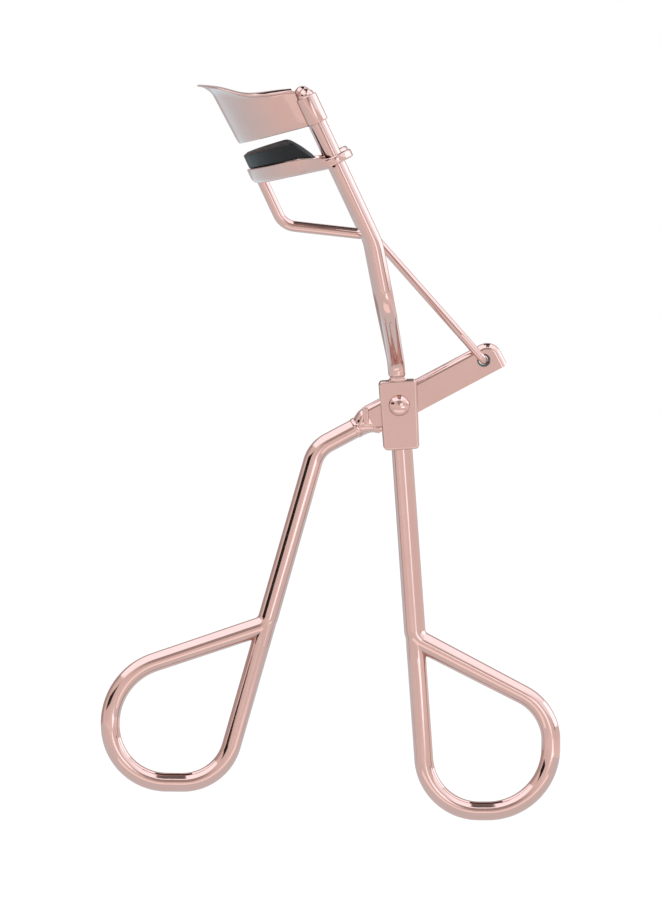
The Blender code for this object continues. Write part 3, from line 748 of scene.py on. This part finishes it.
def handle(name, cad_node, body, radius, shank, shank_bends, down, side_run, top, outer_run, loop_bends):
    """A wire bent at the foot of its shank into a finger loop, whose end is welded under that bend.

    The loop goes along top to its shoulder, down its outer run, and back up its side, which lies down
    from the foot of the shank.
    """
    root = shank[-1]
    shoulder = root + top
    low = shoulder - Vector((0, 0, outer_run))
    corners = [*shank, shoulder, low, root + down * side_run, root + down * WELD_RUN]
    bends = [*shank_bends, LOOP_ROOT_BEND, *loop_bends, 0]
    ends = [radius] * (len(shank) - 2) + [radius * ROOT_SWELL] + [LOOP_RADIUS] * 4
    made = closed_wire(name, corners, bends, radius, ends)
    stops = [root + down * WELD_RUN * step for step in WELD_STOPS]
    bead = LOOP_RADIUS * WELD_BEAD
    thin = bead * WELD_TAPER
    weld = closed_wire(f"{name}_weld", stops, [0] * len(stops), thin, [bead, bead, thin])
    combine(made, "UNION", weld)
    finish(made, PLATE, body, cad_node)


def fixed_handle():
    down = -BRACKET_UP
    handle(
        "fixed_loop_handle",
        "fixed_handle",
        "frame",
        FIXED_RADIUS,
        shank=[down * FIXED_TOP, down * FIXED_SHANK],
        shank_bends=[0],
        down=down,
        side_run=FIXED_SIDE,
        top=Vector((math.cos(FIXED_TOP_DIP), 0, -math.sin(FIXED_TOP_DIP))) * FIXED_TOP_RUN,
        outer_run=FIXED_OUTER_RUN,
        loop_bends=FIXED_CORNERS,
    )


def moving_handle():
    down = Vector((-math.sin(MOVING_LEAN), 0, -math.cos(MOVING_LEAN)))
    elbow = -LEVER_ALONG * MOVING_ELBOW_REACH
    handle(
        "moving_loop_handle",
        "moving_handle",
        "lever",
        MOVING_RADIUS,
        shank=[-LEVER_ALONG * MOVING_START, elbow, elbow + down * MOVING_SHANK],
        shank_bends=[0, MOVING_ELBOW_BEND],
        down=down,
        side_run=MOVING_SIDE,
        top=Vector((-math.cos(MOVING_TOP_DIP), 0, -math.sin(MOVING_TOP_DIP))) * MOVING_TOP_RUN,
        outer_run=MOVING_OUTER_RUN,
        loop_bends=MOVING_CORNERS,
    )


def lever_arm():
    """A folded channel: a block rounded at its nose and along its top, opened below and hollowed."""
    half, deep = LEVER_WIDTH / 2, LEVER_DEPTH / 2
    shape = bmesh.new()
    size = Matrix.Diagonal((LEVER_NOSE - LEVER_HEEL, LEVER_DEPTH, LEVER_WIDTH, 1))
    place = Matrix.Translation(((LEVER_NOSE + LEVER_HEEL) / 2, 0, 0)) @ size
    bmesh.ops.create_cube(shape, size=1, matrix=place)

    def picked(rule):
        return [edge for edge in shape.edges if all(rule(vert.co) for vert in edge.verts)]

    nose = picked(lambda co: co.x > LEVER_NOSE - MERGE and co.z > half - MERGE)
    round_edges(shape, nose, LEVER_NOSE_CORNER, LEVER_NOSE_STEPS)
    for wall in (-deep, deep):
        folds = [
            edge
            for edge in picked(lambda co: abs(co.y - wall) < MERGE)
            if not all(vert.co.z < -half + MERGE for vert in edge.verts)
            and not all(vert.co.x < LEVER_HEEL + MERGE for vert in edge.verts)
        ]
        round_edges(shape, folds, LEVER_FOLD, LEVER_FOLD_STEPS)
    open_faces = [
        face for face in shape.faces if all(vert.co.z < -half + MERGE for vert in face.verts)
    ]
    bmesh.ops.delete(shape, geom=open_faces, context="FACES")
    for vert in [vert for vert in shape.verts if vert.co.z < -half + MERGE]:
        past = min(max(vert.co.x - LEVER_NOSE + LEVER_NOSE_FOOT, 0), LEVER_NOSE_FOOT)
        vert.co.z += LEVER_NOSE_FOOT - math.sqrt(LEVER_NOSE_FOOT**2 - past**2)
    bmesh.ops.recalc_face_normals(shape, faces=shape.faces)
    bmesh.ops.solidify(shape, geom=shape.faces, thickness=LEVER_SHEET)
    bmesh.ops.transform(shape, matrix=LEVER_FRAME, verts=shape.verts)
    made = as_object("folded_lever", shape)
    combine(made, "DIFFERENCE", hook_hole())
    combine(made, "UNION", hook_collar())
    combine(made, "UNION", crimp())
    finish(made, PLATE, "lever", "lever_arm", even=True)


def hook_hole():
    """The link's hole, wide through the near wall and close round the wire through the far one."""
    shape = bmesh.new()
    for radius, side in ((HOOK_HOLE, -LEVER_DEPTH), (HOOK_HOLE_FAR, LEVER_DEPTH)):
        round_pin(shape, radius, HOOK_HOLE_DEPTH, Matrix.Translation(HOOK + SIDE * side) @ ACROSS)
    return as_object("hook_hole", shape)


def hook_collar():
    """The rim of the near hole, drawn in through the channel until it is close round the wire."""
    near, far = LEVER_DEPTH / 2 - LEVER_SHEET / 2, LEVER_SHEET / 2 - LEVER_DEPTH / 2
    wide, close_fit = HOOK_HOLE * HOOK_COLLAR_FIT, HOOK_HOLE_FAR * HOOK_COLLAR_FIT
    section = [
        (wide, near),
        (wide + HOOK_COLLAR_WALL, near),
        (close_fit + HOOK_COLLAR_WALL, far),
        (close_fit, far),
        (wide, near),
    ]
    shape = bmesh.new()
    turned(shape, section, Matrix.Translation(HOOK) @ ACROSS)
    return as_object("hook_collar", shape)


def crimp():
    """The channel's heel, pinched down to a collar round the handle's wire and hammered over it."""

    def spot(along, deep, top, bottom, power, c, s):
        span = (abs(c) ** power + abs(s) ** power) ** (-1 / power)
        high, mid = (top - bottom) / 2, (top + bottom) / 2
        return Vector((along, deep * c * span, mid + high * s * span))

    shape = skin_over(CRIMP_LEVELS, CRIMP_SIDES, spot)
    bmesh.ops.transform(shape, matrix=LEVER_FRAME, verts=shape.verts)
    made = as_object("crimp", shape)
    for sizes in FOLDS:
        combine(made, "UNION", fold(*sizes))
    return made


def fold(along, side, height, lean, wide, tall):
    """A tongue of the channel's sheet, hammered over the wire."""
    shape = bmesh.new()
    place = Matrix.Translation((along, side, height)) @ Matrix.Rotation(lean, 4, "Y")
    bmesh.ops.create_cube(shape, size=1, matrix=place @ Matrix.Diagonal((wide, FOLD_THICK, tall, 1)))
    round_edges(shape, shape.edges, FOLD_EDGE, EDGE_STEPS)
    bmesh.ops.transform(shape, matrix=LEVER_FRAME, verts=shape.verts)
    return as_object("fold", shape)


def upper_jaw():
    """A pressed curved sheet, flared at its top into a thinning lip, with a rolled sleeve on each rod.

    On the sheet, u goes round from rod to rod and v goes up the face and then out along the lip.
    """
    low_forward = Vector((-math.cos(UPPER_EDGE_TILT), 0, -math.sin(UPPER_EDGE_TILT)))
    top_forward = Vector((-1, 0, 0))
    low_run = ROD_UPPER_RUN - SLEEVE_LENGTH

    def spot(u, v):
        turn = JAW_SPREAD * (2 * u - 1)
        side, ahead = ROD_HALF_SPACING * math.sin(turn), math.cos(turn)
        low = rod_point(low_run, side) + low_forward * UPPER_EDGE_REACH * ahead
        top = rod_point(ROD_UPPER_RUN, side) + top_forward * UPPER_TOP_REACH * ahead
        top.z -= LIP_DIP * math.exp(-(((abs(turn) - LIP_DIP_TURN) / LIP_DIP_SPAN) ** 2))
        top.z += LIP_END_RISE * max(0, (abs(turn) - LIP_DIP_TURN) / (JAW_SPREAD - LIP_DIP_TURN)) ** 2
        outward = top_forward * ahead + SIDE * math.sin(turn)
        if v < UPPER_FACE_SHARE:
            rise = v / UPPER_FACE_SHARE
            roll = max(0, 1 - rise / UPPER_ROLL_SHARE) ** 2
            return low.lerp(top, rise) - outward * UPPER_ROLL * roll
        lip = (v - UPPER_FACE_SHARE) / (1 - UPPER_FACE_SHARE)
        out = outward * LIP_REACH * lip**LIP_CURL * ahead
        return top + out + ROD_UP * LIP_RISE * math.sin(lip * math.pi / 2) * ahead

    def skin(u, v, face):
        across = spot(u + SLOPE_STEP, v) - spot(u - SLOPE_STEP, v)
        up = spot(u, v + SLOPE_STEP) - spot(u, v - SLOPE_STEP)
        share = max(0, (v - UPPER_FACE_SHARE) / (1 - UPPER_FACE_SHARE))
        thick = JAW_SHEET + (LIP_EDGE - JAW_SHEET) * share
        return spot(u, v) + up.cross(across).normalized() * face * thick / 2

    rows = [row / FACE_ROWS for row in range(FACE_ROWS + 1)]
    front, back = [(row, 1.0) for row in rows], [(row, -1.0) for row in reversed(rows)]
    brow = [(1 + past, face) for past, face in SHEET_EDGE]
    hem = [(-past, -face) for past, face in SHEET_EDGE]
    section = front + brow + back + hem
    made = as_object("pressed_upper_jaw", sweep(ARC_COLUMNS, section, skin))
    for side in (-ROD_HALF_SPACING, ROD_HALF_SPACING):
        combine(made, "UNION", sleeve(low_run, side))
    finish(made, PLATE, "frame", "upper_jaw")


def sleeve(low_run, side):
    """A tube close round the rod, with rounded rims."""
    bore, outer = SLEEVE_BORE, SLEEVE_OUTER
    section = rounded(
        [(bore, 0), (outer, 0), (outer, SLEEVE_LENGTH), (bore, SLEEVE_LENGTH)],
        [SLEEVE_BORE_EDGE, SLEEVE_RIM, SLEEVE_RIM, SLEEVE_BORE_EDGE],
        EDGE_STEPS,
    )
    shape = bmesh.new()
    turned(shape, section + section[:1], along_rod(low_run, side))
    return as_object("sleeve", shape)


def arm_height(ahead):
    """How high the holder's rim stands, falling from the channel to the arms by the rods."""
    share = (ahead - HOLDER_ARM_START) / (HOLDER_RIM_END - HOLDER_ARM_START)
    share = min(max(share, 0), 1)
    return HOLDER_ARM_TOP + (HOLDER_RIM_TOP - HOLDER_ARM_TOP) * share


def arm_flare(turn):
    """How far an arm spreads outwards to pass round its rod."""
    share = (HOLDER_FLARE_START - HOLDER_REACH * math.cos(turn)) / HOLDER_FLARE_START
    share = min(max(share, 0), 1)
    return HOLDER_FLARE * share * share * (3 - 2 * share)


def jaw_spot(turn, inset, height):
    """A point of the moving jaw, by its angle round the front, depth from the outer face and height."""
    return JAW_FRAME @ Vector(
        (
            -(HOLDER_REACH - inset) * math.cos(turn) - height * JAW_LEAN,
            (HOLDER_HALF - inset) * math.sin(turn) + math.copysign(arm_flare(turn), turn),
            height,
        )
    )


def moving_jaw():
    """A curved channel on arms that end in an ear round each rod."""
    inner = HOLDER_THICKNESS
    section = rounded(
        [
            (0, HOLDER_BOTTOM),
            (inner, HOLDER_BOTTOM),
            (inner, HOLDER_RIM_TOP),
            (inner - HOLDER_WALL, HOLDER_RIM_TOP),
            (inner - HOLDER_WALL, GROOVE_FLOOR),
            (HOLDER_WALL, GROOVE_FLOOR),
            (HOLDER_WALL, HOLDER_RIM_TOP),
            (0, HOLDER_RIM_TOP),
        ],
        [
            FOOT_ROUND,
            FOOT_ROUND_BACK,
            RIM_ROUND,
            RIM_ROUND_INNER,
            GROOVE_ROUND,
            GROOVE_ROUND,
            RIM_ROUND_INNER,
            RIM_ROUND,
        ],
    )

    def spot(u, inset, height):
        turn = HOLDER_SPREAD * (2 * u - 1)
        ahead = (HOLDER_REACH - inset) * math.cos(turn)
        return jaw_spot(turn, inset, min(height, arm_height(ahead)))

    made = as_object("pad_holder", sweep(ARC_COLUMNS, section, spot))
    for side in (-ROD_HALF_SPACING, ROD_HALF_SPACING):
        combine(made, "UNION", ear(side))
    for side in (-ROD_HALF_SPACING, ROD_HALF_SPACING):
        combine(made, "DIFFERENCE", ear_bore(side))
    finish(made, PLATE, "jaw", "moving_jaw")


def ear(side):
    """A flat ring square to the rod."""
    section = rounded(
        [(0, EAR_LOW), (EAR_OUTER, EAR_LOW), (EAR_OUTER, EAR_HIGH), (0, EAR_HIGH)],
        [0, EAR_EDGE, EAR_EDGE, 0],
        EDGE_STEPS,
    )
    shape = bmesh.new()
    turned(shape, section, along_rod(EAR_RUN, side))
    return as_object("ear", shape)


def along_rod(run, side):
    """A place on a rod, with its own Z axis along the rod."""
    return Matrix.Translation(rod_point(run, side)) @ ROD_UP.to_track_quat("Z", "Y").to_matrix().to_4x4()


def ear_bore(side):
    shape = bmesh.new()
    round_pin(shape, EAR_BORE, EAR_BORE_DEPTH, along_rod(EAR_RUN, side))
    return as_object("ear_bore", shape)


def lash_pad():
    """A moulded strip, crowned behind its front shoulder, lower in front and sloping down at its ends."""
    front, back = PAD_SETBACK, HOLDER_THICKNESS - PAD_BACK_SETBACK
    section = rounded(
        [
            (front, PAD_LOW),
            (back, PAD_LOW),
            (back, PAD_SHOULDER - PAD_BACK_DROP),
            (PAD_CREST_BACK, PAD_CREST),
            (PAD_CREST_FRONT, PAD_CREST),
            (front, PAD_SHOULDER),
        ],
        [
            PAD_FOOT_ROUND,
            PAD_FOOT_ROUND,
            PAD_BACK_ROUND,
            PAD_CREST_ROUND,
            PAD_CREST_ROUND,
            PAD_SHOULDER_ROUND,
        ],
    )

    def spot(u, inset, height):
        turn = PAD_SPREAD * (2 * u - 1)
        slope = max(0, (abs(turn) - PAD_SLOPE_START) / (PAD_SPREAD - PAD_SLOPE_START))
        left = 1 - PAD_SLOPE_DROP * slope**PAD_SLOPE_CURVE
        base = min(PAD_LOW, arm_height(HOLDER_REACH * math.cos(turn)) + PAD_SEAT_GAP)
        share = (height - PAD_LOW) / (PAD_CREST - PAD_LOW)
        rise = height - PAD_LOW - PAD_FRONT_DROP * share * math.cos(turn) ** 2
        return jaw_spot(turn, inset, base + rise * left)

    made = as_object("silicone_pad", sweep(ARC_COLUMNS, section, spot))
    finish(made, SILICONE, "jaw", "lash_pad")


def link_wire():
    """Down from the moving jaw, back between the rods, and down beside the lever into its hole."""
    ahead = HOLDER_REACH - HOLDER_THICKNESS / 2 + HOLDER_BOTTOM * JAW_LEAN
    top = JAW_FRAME @ Vector((-ahead, 0, HOLDER_BOTTOM)) + ROD_UP * LINK_SOCKET_DEPTH
    heel = top - ROD_UP * (LINK_DROP + LINK_SOCKET_DEPTH)
    waist = heel + Vector((math.cos(LINK_RUN_DIP), 0, -math.sin(LINK_RUN_DIP))) * LINK_RUN
    taper = [heel.lerp(waist, share) for share in LINK_TAPER]
    hook = HOOK + SIDE * LINK_SIDE
    standoff = hook + (waist - HOOK).normalized() * LINK_STANDOFF
    made = closed_wire(
        "bent_link",
        [top, heel, *taper, waist, standoff, hook, HOOK + SIDE * LINK_PIN_END],
        [0, LINK_BEND, 0, 0, LINK_BEND, LINK_BEND, LINK_HOOK_BEND, 0],
        LINK_RADIUS,
        [LINK_RADIUS] * 3 + [LINK_LOW_RADIUS] * 2 + [LINK_TIP_RADIUS] * 2,
    )
    finish(made, PLATE, "jaw", "link_wire")


# Studio, in metres


WHITE = "#FFFFFF"
SOFT_WHITE = "#E6F4FF"
GREY_BLACK = "#2A2A2A"
GREY_DEEP = "#7A7A7A"
GREY_DIM = "#BCB9B8"
BACK_GREY = "#C6C0C0"
COOL_GREY = "#D3E9F2"
COOL_LEVEL = 1.2
FLOOR_PAINT = "#F3F3F4"
FLOOR_HEIGHT = -0.085
FLOOR_SIZE = 6
FLOOR_LIFT = 0.17
SKY_LIGHT, SKY_SEEN = 0.95, 1.0
KEY_PLACE = Vector((-0.3, -0.6, 1.3))
KEY_SIZE = 0.9
KEY_RADIANCE = 1.2
STAND = 1.8
WALL = 2.0
WALL_CENTRE = UP * 0.6
WALL_SIZE = (2.6, 2.4)
CAMERA_TARGET = Vector((-9.94, 0, -6.48)) * MM
CAMERA_VIEW = (-1.0, 1.65)
CAMERA_DISTANCE = 3.0
# The sensor and the lens are in millimetres, as Blender takes them
CAMERA_SENSOR = 24
CAMERA_LENS = 555
CAMERA_CLIP = 100


def tone(colour, strength):
    """A colour of light, brighter or dimmer by a factor."""
    return [part * strength for part in linear(colour)[:3]] + [1]


def bare_material(name):
    """A new material without nodes, and its node tree."""
    made = bpy.data.materials.new(name)
    made.use_nodes = True
    made.node_tree.nodes.clear()
    return made, made.node_tree


def glow(name, end, fade, start):
    """A plain lit surface, even or fading from a start tone to an end tone between two depths."""
    made, tree = bare_material(name)
    lit = node(tree, "ShaderNodeEmission", values={"Color": end})
    if fade:
        place = node(tree, "ShaderNodeTexCoord").outputs["Object"]
        depth = node(tree, "ShaderNodeSeparateXYZ", links={"Vector": place}).outputs["Y"]
        share = node(
            tree,
            "ShaderNodeMapRange",
            {"interpolation_type": "SMOOTHSTEP"},
            {"From Min": fade[0], "From Max": fade[1]},
            {"Value": depth},
        )
        mixed = node(
            tree,
            "ShaderNodeMix",
            {"data_type": "RGBA"},
            {"A": start, "B": end},
            {"Factor": share.outputs["Result"]},
        )
        tree.links.new(mixed.outputs["Result"], lit.inputs["Color"])
    node(tree, "ShaderNodeOutputMaterial", links={"Surface": lit.outputs["Emission"]})
    return made


def towards(azimuth, elevation):
    """A direction from the tool. Azimuth 0 is in front, positive to the right."""
    turn, rise = math.radians(azimuth), math.radians(elevation)
    return Vector((math.sin(turn) * math.cos(rise), -math.cos(turn) * math.cos(rise), math.sin(rise)))


def facing(place, axis):
    """A place with its own Z axis turned along another."""
    return Matrix.Translation(place) @ Vector(axis).to_track_quat("Z", "Y").to_matrix().to_4x4()


def card(name, place, axis, width, height, colour, strength=1.0, turn=0, fade=None, start=(1, 1, 1, 1)):
    """A lit card that is square to its axis and is seen only in reflections."""
    shape = bmesh.new()
    size = Matrix.Rotation(math.radians(turn), 4, "Z") @ Matrix.Diagonal((width, height, 1, 1))
    bmesh.ops.create_grid(shape, x_segments=1, y_segments=1, size=0.5, matrix=facing(place, axis) @ size)
    made = as_object(name, shape)
    made.data.materials.append(glow(name, tone(colour, strength), fade, start))
    made.visible_camera = False
    made.visible_shadow = False
    made.visible_diffuse = False


def lamp(name, place, axis, width, height, radiance):
    """A soft light that shines back along its axis and is seen neither directly nor in reflections."""
    data = bpy.data.lights.new(name, "AREA")
    data.shape = "RECTANGLE"
    data.size, data.size_y = width, height
    data.energy = radiance * math.pi * width * height
    made = bpy.data.objects.new(name, data)
    made.matrix_world = facing(place, axis)
    made.visible_camera = False
    made.visible_glossy = False
    bpy.context.scene.collection.objects.link(made)


def seen(tree):
    """1 for what the camera sees, itself or in a reflection, and 0 for what lights the tool."""
    path = node(tree, "ShaderNodeLightPath")
    rays = path.outputs["Is Camera Ray"]
    for ray in ("Is Glossy Ray", "Is Transmission Ray"):
        rays = node(
            tree, "ShaderNodeMath", {"operation": "MAXIMUM"}, links={0: rays, 1: path.outputs[ray]}
        ).outputs["Value"]
    return rays


def white_sky():
    """An even white all round, a little dimmer as a light than as it is seen."""
    world = bpy.data.worlds.new("studio")
    bpy.context.scene.world = world
    world.use_nodes = True
    tree = world.node_tree
    tree.nodes.clear()
    strength = node(
        tree,
        "ShaderNodeMapRange",
        values={"To Min": SKY_LIGHT, "To Max": SKY_SEEN},
        links={"Value": seen(tree)},
    )
    sky = node(
        tree,
        "ShaderNodeBackground",
        values={"Color": linear(WHITE)},
        links={"Strength": strength.outputs["Result"]},
    )
    node(tree, "ShaderNodeOutputWorld", links={"Surface": sky.outputs["Background"]})


def above_floor(x, y, gap):
    return Vector((x, y, FLOOR_HEIGHT + gap))


def bright_and_dark_cards():
    """Soft boxes for the broad lights on the wires, and dark cards for the lines between them."""
    for name, side in (("softbox_left", -1), ("softbox_right", 1)):
        card(name, Vector((0.75 * side, -0.5, 1.2)), UP, 1.5, 2.7, SOFT_WHITE, 2.1)
    card("overhead_gap", Vector((0, 0.5, 1.15)), UP, 0.6, 0.85, GREY_BLACK)
    card("overhead_slot", Vector((0.075, -0.55, 1.15)), UP, 0.35, 1.4, GREY_DEEP)
    card("softbox_side", Vector((1.6, 0.42, 0.76)), (1, 0, 0), 2.0, 0.96, SOFT_WHITE, 2.6)
    ahead = towards(54, 31)
    card("softbox_front", ahead * STAND, ahead, 1.1, 0.9, SOFT_WHITE, 1.7)
    strip, sill = towards(13, 0), towards(25, 0)
    card("strip_light", strip * 2.6 + UP * 0.3, strip, 0.64, 0.9, SOFT_WHITE, 2.3)
    sill_place = above_floor(sill.x * 0.8, sill.y * 0.8, 3 * MM)
    card("floor_strip", sill_place, UP, 0.18, 1.0, SOFT_WHITE, 2.5, turn=25)
    card("floor_sheet", above_floor(0, -0.1, 2.5 * MM), UP, 0.16, 0.08, WHITE, 1.45)
    card("dim_band", Vector((0, -WALL, 0.99)), (0, -1, 0), 1.1, 1.14, GREY_DIM)
    card("dim_foot", Vector((0, -WALL, 0.255)), (0, -1, 0), 0.42, 0.35, GREY_DIM)
    left, right = towards(-55, 14), towards(66, 9)
    card("flag_left", left * STAND, left, 1.24, 0.42, GREY_BLACK)
    card("flag_right", right * STAND, right, 0.24, 0.2, GREY_BLACK)


def grey_surround():
    """Grey behind and at the left, and a cool floor, which darken the left edges of the jaws."""
    side, back = towards(-118, 0), towards(180, 0)
    card("side_card", side * WALL + WALL_CENTRE, side, *WALL_SIZE, BACK_GREY, fade=(-0.1, 0.9))
    card("back_card", back * WALL + WALL_CENTRE, back, *WALL_SIZE, BACK_GREY)
    near, far = above_floor(-0.6, 0, 2 * MM), above_floor(-0.6, 1.25, 2 * MM)
    cool = tone(COOL_GREY, COOL_LEVEL)
    card("cool_sheet", near, UP, 1.6, 0.9, COOL_GREY, COOL_LEVEL, fade=(-0.28, 0.24))
    card("back_sheet", far, UP, 1.6, 1.6, BACK_GREY, fade=(0.45, 0.9), start=cool)


def pale_floor():
    """Matt white paint, with a little glow that is seen but lights nothing, so it looks like the sky."""
    shape = bmesh.new()
    place = Matrix.Translation((0, 0, FLOOR_HEIGHT))
    bmesh.ops.create_grid(shape, x_segments=1, y_segments=1, size=FLOOR_SIZE, matrix=place)
    floor = as_object("floor", shape)
    made, tree = bare_material("pale_floor")
    paint = node(tree, "ShaderNodeBsdfDiffuse", values={"Color": linear(FLOOR_PAINT)})
    lift = node(tree, "ShaderNodeMapRange", values={"To Max": FLOOR_LIFT}, links={"Value": seen(tree)})
    lit = node(tree, "ShaderNodeEmission", links={"Strength": lift.outputs["Result"]})
    both = node(tree, "ShaderNodeAddShader", links={0: paint.outputs["BSDF"], 1: lit.outputs["Emission"]})
    node(tree, "ShaderNodeOutputMaterial", links={"Surface": both.outputs["Shader"]})
    floor.data.materials.append(made)


def studio():
    white_sky()
    lamp("key_light", KEY_PLACE, KEY_PLACE, KEY_SIZE, KEY_SIZE, KEY_RADIANCE)
    bright_and_dark_cards()
    grey_surround()
    pale_floor()


def camera():
    """A long lens from afar, almost level, so that the tool stays as flat as in the photo."""
    away = towards(*CAMERA_VIEW)
    data = bpy.data.cameras.new("camera")
    data.sensor_fit = "VERTICAL"
    data.sensor_height = CAMERA_SENSOR
    data.lens = CAMERA_LENS
    data.clip_end = CAMERA_CLIP
    made = bpy.data.objects.new("camera", data)
    made.location = CAMERA_TARGET + away * CAMERA_DISTANCE
    made.rotation_euler = away.to_track_quat("Z", "Y").to_euler()
    bpy.context.scene.collection.objects.link(made)
    bpy.context.scene.camera = made


camera()
studio()
guide_rod("near_rod", "guide_rod_near", -ROD_HALF_SPACING)
guide_rod("far_rod", "guide_rod_far", ROD_HALF_SPACING)
bracket_plate("near_plate", "bracket_front_plate", -1)
bracket_plate("far_plate", "bracket_back_plate", 1)
pivot_rivet()
fixed_handle()
moving_handle()
lever_arm()
upper_jaw()
moving_jaw()
lash_pad()
link_wire()

bpy.context.scene.view_settings.view_transform = "Standard"
bpy.context.view_layer.update()
